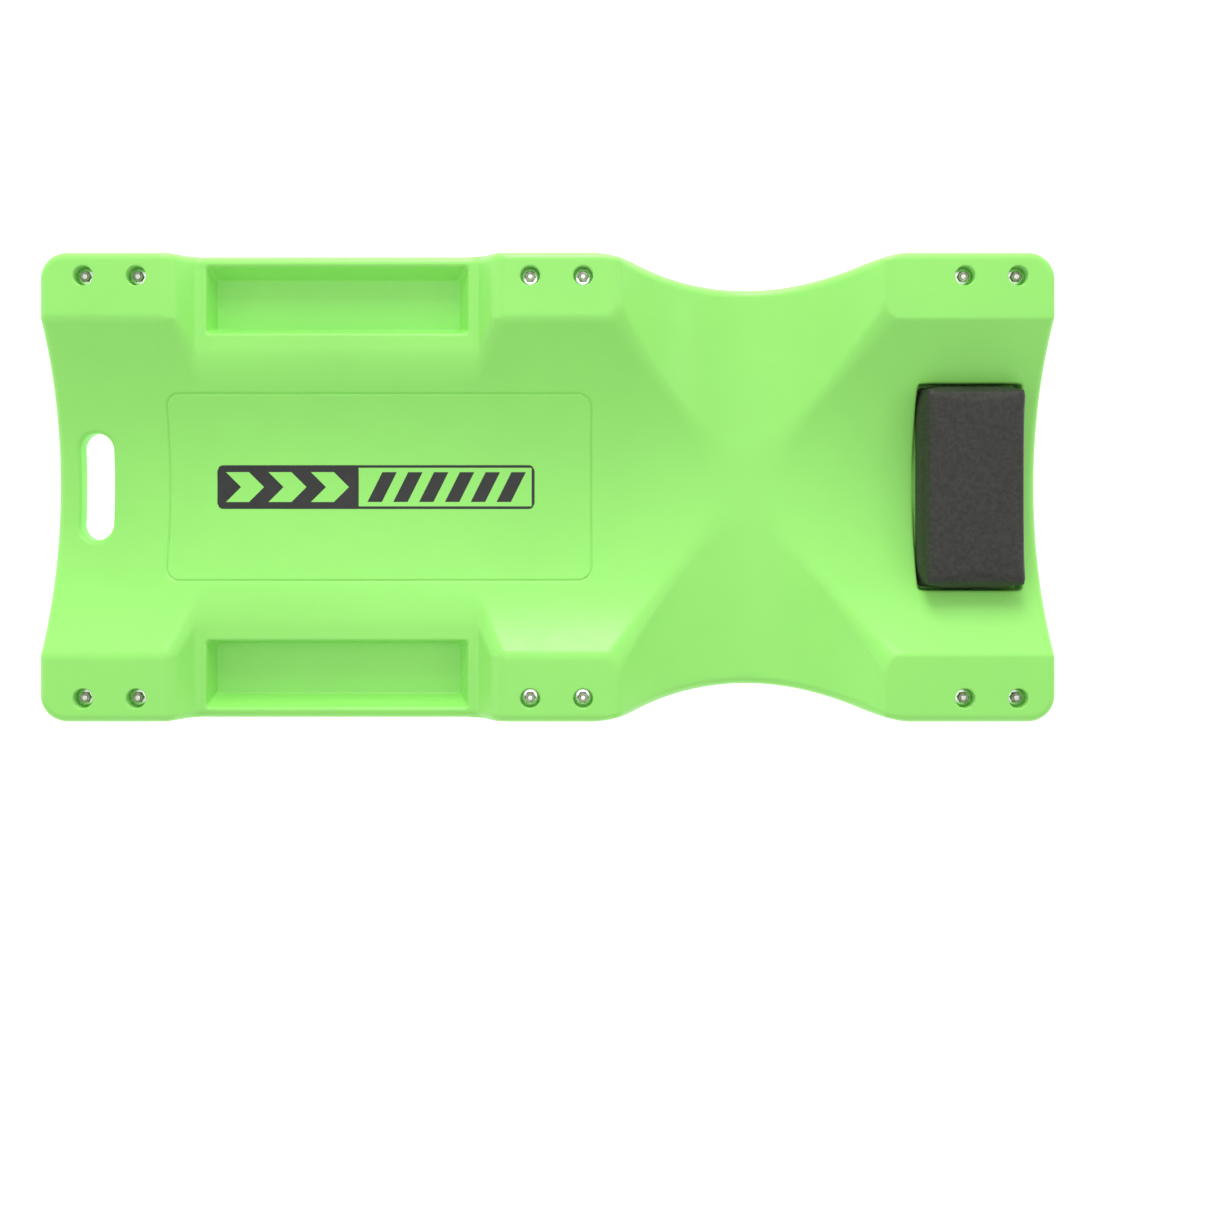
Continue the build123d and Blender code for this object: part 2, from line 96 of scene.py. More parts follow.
NUT_FLANGE_Z = (0.0018, 0.0024)  # from here up a nut is its hexagon, painted darker as a painted reflection, measured from its seat
GROOVE_X = (-0.392, 0.045)
GROOVE_HALF_Y = 0.096
GROOVE_R = 0.014
GROOVE_DEPTH = 0.0013
GROOVE_SPREAD = 0.0009
DECAL_X = (-0.343, -0.014)
DECAL_HALF_Y = 0.023
DECAL_R = 0.006
DECAL_LIFT = 0.0002

# ---- the headrest's cover --------------------------------------------------------------------------
REST_EDGE_R = 0.0032
REST_VOXEL = 0.004
REST_SWELL = 0.0012
REST_TOP_INSET = 0.0026
REST_BASE_OUT = 0.0010
REST_BOW = 0.0014
REST_CROWN = 0.0008
REST_TUCK = (0.0026, 0.0006)  # at the foot side's corners and at the head side's
REST_TUCK_REACH = 0.020
FOLD_R = 0.0005

# ---- edge radii of the moulding -------------------------------------------------------------------
TOP_EDGE_R = 0.0085
BOTTOM_EDGE_R = 0.006
FOOT_PAD_EDGE_R = 0.0034
HEAD_PAD_EDGE_R = 0.0012
CREASE_R = (0.0030, 0.0130)  # at the crossing, and where it reaches a pad
WALL_DRAFT = 0.08  # lean of the side wall under the parting line
PARTING_DEPTH = 0.0095
PARTING_R = 0.00045
PARTING_POINTS = 900
DIMPLE_X = 0.402
DIMPLE_Y = 0.154
DIMPLE_Z = 0.079
DIMPLE_BALL_R = 0.024
DIMPLE_BALL_OUT = 0.0185
DIMPLE_AIM = (0.515, 0.857)  # the ball stands out along +Y and -Z in these shares
DIMPLE_EDGE_R = 0.002
WAIST_EDGE_R = 0.010
RIM_EDGE_R = 0.0022
TRAY_BEND_R = 0.0035
TRAY_SLOPE_R = 0.009
TRAY_CORNER_R = 0.004
TRAY_FLOOR_R = 0.0016
TRAY_CUT_Y = 0.100  # the cut above a tray's rim starts here
NUT_FLOOR_R = 0.0008
NUT_RIM_R = 0.0010
SEAT_CORNER_R = 0.004
SEAT_EDGE_R = 0.002
HANDLE_EDGE_R = 0.0045
UNDER_R = 0.008
UNDER_TROUGH_R = 0.012
BOX_EDGE_R = 0.006
HEAD_BOX_EDGE_R = 0.004
HEAD_BOX_LEAN = (0.014, 0.028)  # its front wall leans forward this far over this height
CREASE_FROM_Z = 0.065


# ---- signed distances: below 0 inside the solid or the void ---------------------------------------
def both(a, b, radius=0.0):
    """What lies in a and in b, its edges rounded."""
    corner = np.hypot(np.maximum(a + radius, 0), np.maximum(b + radius, 0))
    return np.minimum(-radius, np.maximum(a, b)) + corner


def either(a, b, radius=0.0):
    """What lies in a or in b, the valley between them filled to a radius."""
    return -both(-a, -b, radius)


def rounded_rect(x, y, x0, x1, y0, y1, radius):
    """Distance to a rectangle with round corners."""
    dx = np.abs(x - (x0 + x1) / 2) - (x1 - x0) / 2 + radius
    dy = np.abs(y - (y0 + y1) / 2) - (y1 - y0) / 2 + radius
    return np.minimum(np.maximum(dx, dy), 0) + np.hypot(np.maximum(dx, 0), np.maximum(dy, 0)) - radius


def arc_radius(half_chord, sag):
    """Radius of the arc with that half chord and depth."""
    return (half_chord**2 + sag**2) / (2 * sag)


def body_trough(x, y, z):
    """Distance to the long trough's cylinder, which sinks a little towards the crossing."""
    along = np.clip((x + HALF_L + 0.06) / (CROSSING_X + HALF_L + 0.06), 0, 1)
    lowest = BODY_TROUGH_FOOT_Z + (CROSSING_Z - BODY_TROUGH_FOOT_Z) * along
    radius = arc_radius(PAD_INNER_Y, TOP_Z - lowest)
    return np.hypot(y, z - lowest - radius) - radius


def shoulder_trough(x, z):
    """Distance to the cross trough's cylinder."""
    radius = arc_radius(SHOULDER_HALF, TOP_Z - CROSSING_Z)
    return np.hypot(x - CROSSING_X, z - CROSSING_Z - radius) - radius


def outline(x, y):
    """Distance to the board's plan: a rectangle with round corners and a waist."""
    plan = rounded_rect(x, y, -HALF_L, HALF_L, -HALF_W, HALF_W, CORNER_R)
    waist_r = arc_radius(WAIST_HALF, HALF_W - WAIST_Y)
    waist = waist_r - np.hypot(x - CROSSING_X, y - WAIST_Y - waist_r)
    return both(plan, waist, WAIST_EDGE_R)


def tray_level(x, y, z):
    """Distance to the space above a tray's rim, with its two sloping ends."""
    rise = TOP_Z - TRAY_RIM_Z
    void = TRAY_RIM_Z - z
    for low, high, side in zip(TRAY_LOW_X, TRAY_HIGH_X, (-1, 1)):
        run = side * (high - low)
        across = (rise * side * (x - low) - run * (z - TRAY_RIM_Z)) / math.hypot(run, rise)
        void = both(void, across, TRAY_BEND_R)
    return both(void, TRAY_CUT_Y - y)


def tray_pocket(x, y, z):
    """Distance to the pocket of a tray, which widens to its mouth."""
    up = np.clip((z - TRAY_FLOOR_Z) / (TRAY_RIM_Z - TRAY_FLOOR_Z), -0.3, 1.6)
    x0, x1, y0, y1 = (low + (high - low) * up for low, high in zip(TRAY_FLOOR, TRAY_MOUTH))
    return both(rounded_rect(x, y, x0, x1, y0, y1, TRAY_CORNER_R), TRAY_FLOOR_Z - z, TRAY_FLOOR_R)


def nut_pockets(x, y, z):
    """Distance to the nearest round pocket of a stud nut."""
    nearest = np.full(np.broadcast(x, y, z).shape, 1.0)
    for kx, ky in KINGPINS:
        if ky > 0:
            for side in (-1, 1):
                nearest = np.minimum(nearest, np.hypot(x - kx - side * STUD_HALF_PITCH, y - ky))
    return both(nearest - NUT_POCKET_R, NUT_SEAT_Z - z, NUT_FLOOR_R)


def handle_slot(x, y):
    """Distance to the hand hole."""
    return np.hypot(x - HANDLE_X, np.maximum(y - HANDLE_HALF_L + HANDLE_HALF_W, 0)) - HANDLE_HALF_W


def groove(x, y):
    """Depth of the groove that frames the middle of the body trough."""
    edge = rounded_rect(x, y, *GROOVE_X, -GROOVE_HALF_Y, GROOVE_HALF_Y, GROOVE_R)
    return GROOVE_DEPTH * np.exp(-((edge / GROOVE_SPREAD) ** 2))


def underside(x, y, z):
    """Distance to everything above the board's underside."""
    slab = PLATE_TOP - z
    x0, x1 = TRAY_BOX_X
    box = both(np.abs(x - (x0 + x1) / 2) - (x1 - x0) / 2, TRAY_BOTTOM_Z - z, BOX_EDGE_R)
    arched = both(either(slab, box, TRAY_ARCH_R), TRAY_BOX_Y - y, BOX_EDGE_R)
    front = HEAD_BOX[0] - HEAD_BOX_LEAN[0] * np.clip((z - BOARD_BOTTOM) / HEAD_BOX_LEAN[1], 0, 1)
    dx = np.maximum(front - x, x - HEAD_BOX[1])
    well = both(both(dx, y - HEAD_BOX[2], BOX_EDGE_R), BOARD_BOTTOM - z, HEAD_BOX_EDGE_R)
    troughs = either(body_trough(x, y, z) - PANEL_T, shoulder_trough(x, z) - PANEL_T, UNDER_R)
    return either(either(either(slab, troughs, UNDER_TROUGH_R), arched, UNDER_R), well, UNDER_R)


def dimples(x, y, z):
    """Distance to the balls that press a dimple into the underside near each corner."""
    out_y, out_z = [DIMPLE_BALL_OUT * share for share in DIMPLE_AIM]
    away = np.hypot(np.hypot(np.abs(x) - DIMPLE_X, y - DIMPLE_Y - out_y), z - DIMPLE_Z + out_z)
    return away - DIMPLE_BALL_R


def top_surface(x, y, z):
    """Distance to everything below the board's top, without its outer edge."""
    up = np.clip((z - CREASE_FROM_Z) / (TOP_Z - CREASE_FROM_Z), 0, 1)
    crease = CREASE_R[0] + (CREASE_R[1] - CREASE_R[0]) * up**1.5
    edge = np.where(x > 0.2, HEAD_PAD_EDGE_R, FOOT_PAD_EDGE_R)
    troughs = either(body_trough(x, y, z), shoulder_trough(x, z), crease)
    solid = both(z - TOP_Z, -troughs, edge)
    return both(solid, -tray_level(x, y, z), TRAY_SLOPE_R)


def board(x, y, z):
    """Distance to the whole board. y is 0 or more: the board is symmetric."""
    top = top_surface(x, y, z)
    wall = outline(x, y) + WALL_DRAFT * np.maximum(-top - PARTING_DEPTH, 0)
    top = top + groove(x, y)
    top = both(top, -tray_pocket(x, y, z), RIM_EDGE_R)
    top = both(top, -nut_pockets(x, y, z), NUT_RIM_R)
    seat = rounded_rect(x, y, SEAT[0], SEAT[1], -SEAT[2], SEAT[2], SEAT_CORNER_R)
    top = both(top, -both(seat, SEAT_Z - z, SEAT_EDGE_R), SEAT_EDGE_R)
    solid = both(wall, top, TOP_EDGE_R)
    solid = both(solid, underside(x, y, z), BOTTOM_EDGE_R)
    solid = both(solid, -handle_slot(x, y), HANDLE_EDGE_R)
    return both(solid, -dimples(x, y, z), DIMPLE_EDGE_R)


# ---- surface net ----------------------------------------------------------------------------------
def graded_lines(low, high, coarse, zones, growth=0.7):
    """Grid lines from low to high, spaced by each zone's step inside it and widening away from it."""
    probe = np.linspace(low, high, 4001)
    step = np.full(probe.shape, coarse)
    for start, end, fine in zones:
        away = np.maximum(np.maximum(start - probe, probe - end), 0)
        step = np.minimum(step, fine + growth * away)
    count = np.concatenate([[0], np.cumsum((probe[1] - probe[0]) * 2 / (step[1:] + step[:-1]))])
    return np.interp(np.linspace(0, count[-1], int(math.ceil(count[-1])) + 1), count, probe)


def surface_net(xs, ys, zs, field):
    """Quads round the surface where field changes sign. Returns (points, quads)."""
    value = field(xs[:, None, None], np.abs(ys)[None, :, None], zs[None, None, :])
    inside = value < 0
    filled = sum(
        inside[i : len(xs) - 1 + i, j : len(ys) - 1 + j, k : len(zs) - 1 + k].astype(np.int8)
        for i in (0, 1) for j in (0, 1) for k in (0, 1)
    )
    cells = np.argwhere((filled > 0) & (filled < 8))
    number = np.full(filled.shape, -1)
    number[tuple(cells.T)] = np.arange(len(cells))
    corners = [(i, j, k) for i in (0, 1) for j in (0, 1) for k in (0, 1)]
    lines = (xs, ys, zs)
    total, hits = np.zeros((len(cells), 3)), np.zeros(len(cells))
    for a in corners:
        for axis in range(3):
            if a[axis]:
                continue
            b = tuple(1 if n == axis else a[n] for n in range(3))
            ia, ib = cells + a, cells + b
            va, vb = value[tuple(ia.T)], value[tuple(ib.T)]
            cut = (va < 0) != (vb < 0)
            share = np.where(cut, va / np.where(cut, va - vb, 1), 0)
            for n in range(3):
                pa, pb = lines[n][ia[:, n]], lines[n][ib[:, n]]
                total[:, n] += np.where(cut, pa + share * (pb - pa), 0)
            hits += cut
    points = total / hits[:, None]
    quads = []
    for axis in range(3):
        u, v = [(1, 2), (2, 0), (0, 1)][axis]
        size = list(inside.shape)
        size[axis] -= 1
        first = inside[tuple(slice(0, size[n]) for n in range(3))]
        second = inside[tuple(slice(1, None) if n == axis else slice(None) for n in range(3))]
        edges = np.argwhere(first != second)
        keep = (edges[:, u] > 0) & (edges[:, v] > 0)
        keep &= (edges[:, u] < filled.shape[u]) & (edges[:, v] < filled.shape[v])
        edges = edges[keep]
        ring = []
        for du, dv in ((-1, -1), (0, -1), (0, 0), (-1, 0)):
            cell = edges.copy()
            cell[:, u] += du
            cell[:, v] += dv
            ring.append(number[tuple(cell.T)])
        ring = np.stack(ring, 1)
        leaving = first[tuple(edges.T)]
        ring[~leaving] = ring[~leaving][:, ::-1]
        quads.append(ring)
    return points, np.concatenate(quads)


def settle(points, field, rounds=4, eps=0.00005):
    """Moves points onto the surface of the field. Returns (points, outward normals)."""
    for turn in range(rounds + 1):
        p = points.copy()
        side = np.sign(np.where(p[:, 1] == 0, 1, p[:, 1]))
        value = field(p[:, 0], np.abs(p[:, 1]), p[:, 2])
        slope = np.zeros_like(p)
        for n in range(3):
            ahead, behind = p.copy(), p.copy()
            ahead[:, n] += eps
            behind[:, n] -= eps
            slope[:, n] = (
                field(ahead[:, 0], np.abs(ahead[:, 1]), ahead[:, 2])
                - field(behind[:, 0], np.abs(behind[:, 1]), behind[:, 2])
            ) / (2 * eps)
        size = np.linalg.norm(slope, axis=1) + 1e-9
        if turn < rounds:
            step = np.clip(value / size, -0.002, 0.002)
            points = points - (step / size)[:, None] * slope
    return points, slope / size[:, None]


def relax(points, quads, field, rounds):
    """Evens out the net along the surface."""
    for _ in range(rounds):
        total, seen = np.zeros_like(points), np.zeros(len(points))
        for a in range(4):
            b = (a + 1) % 4
            np.add.at(total, quads[:, a], points[quads[:, b]])
            np.add.at(total, quads[:, b], points[quads[:, a]])
            np.add.at(seen, quads[:, a], 1)
            np.add.at(seen, quads[:, b], 1)
        points, _ = settle(0.5 * points + 0.5 * total / seen[:, None], field, 1)
    return points


# ---- objects ---------------------------------------------------------------------------------------
def add_mesh(name, points, faces, material, body="deck", normals=None):
    """A smooth-shaded mesh that rides on a CAD body."""
    mesh = bpy.data.meshes.new(name)
    mesh.from_pydata([tuple(p) for p in points], [], [tuple(f) for f in faces])
    mesh.polygons.foreach_set("use_smooth", [True] * len(mesh.polygons))
    mesh.materials.append(material)
    if normals is not None:
        mesh.normals_split_custom_set_from_vertices([tuple(n) for n in normals])
    obj = bpy.data.objects.new(name, mesh)
    bpy.context.scene.collection.objects.link(obj)
    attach(obj, body)
    return obj


def shell_grid():
    """Grid lines that are close together where the board's shape is fine."""
    fine_x = [(kx + side * STUD_HALF_PITCH - 0.0105, kx + side * STUD_HALF_PITCH + 0.0105, 0.0021)
              for kx, ky in KINGPINS if ky > 0 for side in (-1, 1)]
    fine_x += [(x - 0.0015, x + 0.0015, 0.0008) for x in GROOVE_X]
    fine_x += [(TRAY_MOUTH[0] - 0.004, TRAY_FLOOR[0] + 0.003, 0.0016)]
    fine_x += [(TRAY_FLOOR[1] - 0.003, TRAY_MOUTH[1] + 0.004, 0.0016)]
    fine_x += [(TRAY_HIGH_X[0] - 0.014, TRAY_LOW_X[0] + 0.006, 0.0030)]
    fine_x += [(TRAY_LOW_X[1] - 0.006, TRAY_HIGH_X[1] + 0.012, 0.0030)]
    fine_x += [(HANDLE_X - 0.021, HANDLE_X + 0.021, 0.0025)]
    fine_x += [(SEAT[0] - 0.003, SEAT[0] + 0.002, 0.0012), (SEAT[1] - 0.002, SEAT[1] + 0.003, 0.0012)]
    fine_x += [(side * HALF_L - 0.009, side * HALF_L + 0.009, 0.0018) for side in (-1, 1)]
    fine_x += [(GROOVE_X[0], GROOVE_X[0] + GROOVE_R, 0.0014), (GROOVE_X[1] - GROOVE_R, GROOVE_X[1], 0.0014)]
    ky = max(y for x, y in KINGPINS)
    fine_y = [(ky - 0.0105, ky + 0.0105, 0.0021), (HALF_W - 0.009, HALF_W + 0.004, 0.0018)]
    fine_y += [(TRAY_MOUTH[2] - 0.003, TRAY_FLOOR[2] + 0.003, 0.0016)]
    fine_y += [(TRAY_FLOOR[3] - 0.003, TRAY_MOUTH[3] + 0.003, 0.0018)]
    fine_y += [(GROOVE_HALF_Y - 0.0015, GROOVE_HALF_Y + 0.0015, 0.0008)]
    fine_y += [(GROOVE_HALF_Y - GROOVE_R, GROOVE_HALF_Y, 0.0014)]
    fine_y += [(HANDLE_HALF_L - 0.02, HANDLE_HALF_L + 0.005, 0.0025)]
    fine_y += [(SEAT[2] - 0.002, SEAT[2] + 0.003, 0.0012), (0.112, 0.130, 0.0030)]
    fine_y += [(PAD_INNER_Y - 0.005, PAD_INNER_Y + 0.003, 0.0022)]
    margin = 0.004
    fine_x += [(CROSSING_X - SHOULDER_HALF - 0.01, CROSSING_X + SHOULDER_HALF + 0.01, 0.0060)]
    xs = graded_lines(-HALF_L - margin, HALF_L + margin, 0.0100, fine_x)
    half = graded_lines(0.0, HALF_W + margin, 0.0075, fine_y)
    ys = np.concatenate([-half[:0:-1], half])
    fine_z = [(TOP_Z - 0.009, TOP_Z + 0.001, 0.0018), (PLATE_TOP - 0.002, PLATE_TOP + 0.007, 0.0018)]
    zs = graded_lines(BOARD_BOTTOM - margin, TOP_Z + margin, 0.0030, fine_z)
    return xs, ys, zs


def deck_shell(material):
    """The moulded board as one closed mesh."""
    xs, ys, zs = shell_grid()
    points, quads = surface_net(xs, ys, zs, board)
    points, _ = settle(points, board)
    points = relax(points, quads, board, 2)
    points, normals = settle(points, board)
    shell = add_mesh("moulded_board", points, quads, material, normals=normals)
    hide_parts("deck_shell")
    return shell


def parting_line(material):
    """The thin flash line round the side wall, where the two halves of the mould met."""
    path = []
    for turn in np.linspace(0, 2 * math.pi, 1441)[:-1]:
        ray = np.array([math.cos(turn), math.sin(turn)])
        low, high = 0.05, 0.62
        for _ in range(30):
            mid = (low + high) / 2
            inside = outline(mid * ray[0], abs(mid * ray[1])) < 0
            low, high = (mid, high) if inside else (low, mid)
        path.append(low * ray)
    path = evenly(np.array(path), PARTING_POINTS)
    inner = path * (1 - 0.010 / np.linalg.norm(path, axis=1))[:, None]
    heights = []
    for x, y in inner:
        low, high = 0.03, TOP_Z + 0.01
        for _ in range(30):
            mid = (low + high) / 2
            low, high = (mid, high) if float(top_surface(x, abs(y), mid)) < 0 else (low, mid)
        heights.append(low)
    heights = np.array(heights)
    for _ in range(6):
        heights = (np.roll(heights, 1) + heights * 2 + np.roll(heights, -1)) / 4
    points = np.column_stack([path, heights - PARTING_DEPTH])
    points, normals = settle(points, board)
    return ribbon_tube("parting_line", points, normals, PARTING_R, material)


def evenly(path, count):
    """The closed path at evenly spaced points."""
    closed = np.vstack([path, path[:1]])
    run = np.concatenate([[0], np.cumsum(np.linalg.norm(np.diff(closed, axis=0), axis=1))])
    at = np.linspace(0, run[-1], count + 1)[:-1]
    return np.column_stack([np.interp(at, run, closed[:, n]) for n in range(2)])


def ribbon_tube(name, points, normals, radius, material, closed=True, body="deck"):
    """A thin bead that lies along a path on a surface."""
    ahead = np.roll(points, -1, axis=0) - np.roll(points, 1, axis=0)
    if not closed:
        ahead[0], ahead[-1] = points[1] - points[0], points[-1] - points[-2]
    ahead /= np.linalg.norm(ahead, axis=1)[:, None]
    side = np.cross(ahead, normals)
    side /= np.linalg.norm(side, axis=1)[:, None]
    rings, sides = len(points), 8
    verts = []
    for n in range(sides):
        turn = 2 * math.pi * n / sides
        verts.append(points + radius * (math.cos(turn) * side * 1.6 + math.sin(turn) * normals))
    verts = np.stack(verts, 1).reshape(-1, 3)
    faces = []
    last = rings if closed else rings - 1
    for i in range(last):
        j = (i + 1) % rings
        for n in range(sides):
            m = (n + 1) % sides
            faces.append((i * sides + n, i * sides + m, j * sides + m, j * sides + n))
    return add_mesh(name, verts, faces, material, body)


def decal(material):
    """The printed film, laid on the moulded surface."""
    columns, rows = 161, 33
    xs = np.linspace(DECAL_X[0], DECAL_X[1], columns)
    into = np.minimum(xs - DECAL_X[0], DECAL_X[1] - xs)
    missing = np.maximum(DECAL_R - into, 0)
    half = DECAL_HALF_Y - DECAL_R + np.sqrt(np.maximum(DECAL_R**2 - missing**2, 0))
    share = np.linspace(-1, 1, rows)
    ys = (half[:, None] * share[None, :]).ravel()
    points = np.stack([np.repeat(xs, rows), ys, np.full(columns * rows, CROSSING_Z)], 1)
    points, normals = settle(points, board)
    points = points + normals * DECAL_LIFT
    faces = [
        (i * rows + j, (i + 1) * rows + j, (i + 1) * rows + j + 1, i * rows + j + 1)
        for i in range(columns - 1) for j in range(rows - 1)
    ]
    film = add_mesh("printed_film", points, faces, material, normals=normals)
    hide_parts("body_decal")
    return film


def cushion_blank():
    """The headrest's shape before its cover is puffed up: a box that widens a little to its base."""
    mesh = bpy.data.meshes.new("headrest_cushion")
    form = bmesh.new()
    bmesh.ops.create_cube(form, size=1)
    for vertex in form.verts:
        upper = vertex.co.z > 0
        inset = REST_TOP_INSET if upper else REST_SWELL
        vertex.co.x = REST_HIGH[0] - REST_SWELL if vertex.co.x > 0 else REST_LOW[0] + REST_SWELL
        vertex.co.y = REST_HIGH[1] - inset if vertex.co.y > 0 else REST_LOW[1] + inset
        vertex.co.z = REST_HIGH[2] - REST_SWELL if upper else REST_LOW[2] + REST_SWELL
    bmesh.ops.bevel(form, geom=form.edges[:], offset=REST_EDGE_R, segments=3, profile=0.5, affect="EDGES")
    form.to_mesh(mesh)
    form.free()
    blank = bpy.data.objects.new("headrest_cushion", mesh)
    bpy.context.scene.collection.objects.link(blank)
    remesh = blank.modifiers.new("even", "REMESH")
    remesh.mode = "VOXEL"
    remesh.voxel_size = REST_VOXEL
    bake_modifiers(blank)
    return blank


def bake_modifiers(obj):
    """Applies an object's modifiers to its mesh."""
    graph = bpy.context.evaluated_depsgraph_get()
    mesh = bpy.data.meshes.new_from_object(obj.evaluated_get(graph))
    obj.modifiers.clear()
    old = obj.data
    obj.data = mesh
    bpy.data.meshes.remove(old)


def coordinates(mesh):
    """The vertices of a mesh as an array."""
    flat = np.empty(len(mesh.vertices) * 3)
    mesh.vertices.foreach_get("co", flat)
    return flat.reshape(-1, 3)


def puff(obj, frames=20, cap=0.0016):
    """Blows the cover up from inside with a cloth simulation and keeps the result."""
    start = coordinates(obj.data)
    held = obj.vertex_groups.new(name="held")
    held.add([n for n, p in enumerate(start) if p[2] < REST_LOW[2] + 0.004], 1.0, "REPLACE")
    cloth = obj.modifiers.new("puff", "CLOTH")
    cloth.settings.vertex_group_mass = "held"
    cloth.settings.use_pressure = True
    cloth.settings.uniform_pressure_force = 4
    cloth.settings.effector_weights.gravity = 0
    cloth.settings.tension_stiffness = 40
    cloth.settings.compression_stiffness = 40
    cloth.settings.bending_stiffness = 3
    scene = bpy.context.scene
    for frame_number in range(1, frames + 1):
        scene.frame_set(frame_number)
    bake_modifiers(obj)
    obj.vertex_groups.clear()
    scene.frame_set(1)
    moved = coordinates(obj.data) - start
    length = np.linalg.norm(moved, axis=1)
    moved *= np.minimum(1, cap / np.maximum(length, 1e-9))[:, None]
    obj.data.vertices.foreach_set("co", (start + moved).ravel())


def stretch_back(points):
    """Undoes how far the simulation and the smoothing drew the cushion's sides in."""
    up = np.clip((points[:, 2] - REST_LOW[2]) / (REST_HIGH[2] - REST_LOW[2]), 0, 1)
    upper = up * up * (3 - 2 * up)
    for axis, top_inset in ((0, 0.0), (1, REST_TOP_INSET)):
        fits = []
        for ring, inset in ((up < 0.35, -REST_BASE_OUT), (up > 0.7, top_inset)):
            low, high = points[ring, axis].min(), points[ring, axis].max()
            span = REST_HIGH[axis] - REST_LOW[axis] - 2 * inset
            fits.append(REST_LOW[axis] + inset + (points[:, axis] - low) * span / (high - low))
        points[:, axis] = (1 - upper) * fits[0] + upper * fits[1]


def headrest(material):
    """The padded headrest with its folded corners."""
    rest = cushion_blank()
    puff(rest)
    smooth = rest.modifiers.new("smooth", "SUBSURF")
    smooth.levels = smooth.render_levels = 1
    bake_modifiers(rest)
    points = coordinates(rest.data)
    stretch_back(points)
    middle = [(low + high) / 2 for low, high in zip(REST_LOW, REST_HIGH)]
    half = [(high - low) / 2 for low, high in zip(REST_LOW, REST_HIGH)]
    u, v = [(points[:, n] - middle[n]) / half[n] for n in range(2)]
    up = np.clip((points[:, 2] - REST_LOW[2]) / (REST_HIGH[2] - REST_LOW[2]), 0, 1)
    # the sides pull in between the corners, most of all along the top edge
    bow = REST_BOW * up**2
    points[:, 0] -= np.sign(u) * bow * np.abs(u) ** 6 * (1 - v**2)
    points[:, 1] -= np.sign(v) * bow * 1.5 * np.abs(v) ** 8 * (1 - u**2)
    # the cover is gathered under each corner
    near = np.hypot(half[0] * (1 - np.abs(u)), half[1] * (1 - np.abs(v)))
    near = np.clip(1 - near / REST_TUCK_REACH, 0, 1)
    tuck = np.where(u < 0, *REST_TUCK) * near**1.3 * (1 - up) ** 0.7
    points[:, 0] -= np.sign(u) * tuck
    points[:, 1] -= np.sign(v) * tuck
    # a crown on the top
    points[:, 2] += REST_CROWN * np.clip(1 - u**2, 0, 1) * np.clip(1 - v**4, 0, 1) * (up > 0.6) * up
    rest.data.vertices.foreach_set("co", points.ravel())
    rest.data.polygons.foreach_set("use_smooth", [True] * len(rest.data.polygons))
    rest.data.materials.clear()
    rest.data.materials.append(material)
    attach(rest, "deck")
    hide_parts("headrest_cover", "headrest_foam")
    corner_folds(rest, material)
    return rest


def corner_folds(rest, material):
    """The folded edge of the cover at each corner of the headrest."""
    tree = BVHTree.FromPolygons(
        [v.co for v in rest.data.vertices], [p.vertices for p in rest.data.polygons]
    )
    for number, (sx, sy) in enumerate(((-1, -1), (-1, 1), (1, -1), (1, 1))):
        corner = Vector((REST_LOW[0] if sx < 0 else REST_HIGH[0], sy * REST_HIGH[1], 0))
        points, normals = [], []
        for share in np.linspace(0, 1, 16):
            height = REST_HIGH[2] + 0.004 - share * (REST_HIGH[2] - REST_LOW[2] - 0.003)
            aside = 0.001 + 0.0045 * share
            target = Vector((corner.x + sx * 0.002, corner.y - sy * (aside - 0.002), height))
            place, normal, *_ = tree.find_nearest(target)
            if not points or (place - points[-1]).length > 0.0005:
                points.append(place)
                normals.append(normal)
        name = f"corner_fold_{number + 1}"
        ribbon_tube(name, np.array(points), np.array(normals), FOLD_R, material, closed=False)


# ---- materials -------------------------------------------------------------------------------------
def node_material(name):
    """An empty material, with its shader and a helper that adds and links nodes."""
    material = bpy.data.materials.new(name)
    material.use_nodes = True
    tree = material.node_tree
    shader = tree.nodes["Principled BSDF"]
    where = tree.nodes.new("ShaderNodeTexCoord").outputs["Object"]

    def add(kind, links=(), **settings):
        node = tree.nodes.new("ShaderNode" + kind)
        for key, value in settings.items():
            if key.startswith("in_"):
                node.inputs[key[3:].replace("_", " ")].default_value = value
            else:
                setattr(node, key, value)
        for socket, source in links:
            tree.links.new(source, node.inputs[socket])
        return node

    def link(source, socket):
        tree.links.new(source, shader.inputs[socket])

    return material, shader, where, add, link


def ramp(add, source, stops):
    """A colour ramp from (position, colour) stops."""
    node = add("ValToRGB", [("Fac", source)])
    elements = node.color_ramp.elements
    while len(elements) < len(stops):
        elements.new(0.5)
    for element, (position, colour) in zip(elements, stops):
        element.position = position
        element.color = (*colour, 1) if len(colour) == 3 else (colour[0],) * 3 + (1,)
    return node.outputs["Color"]


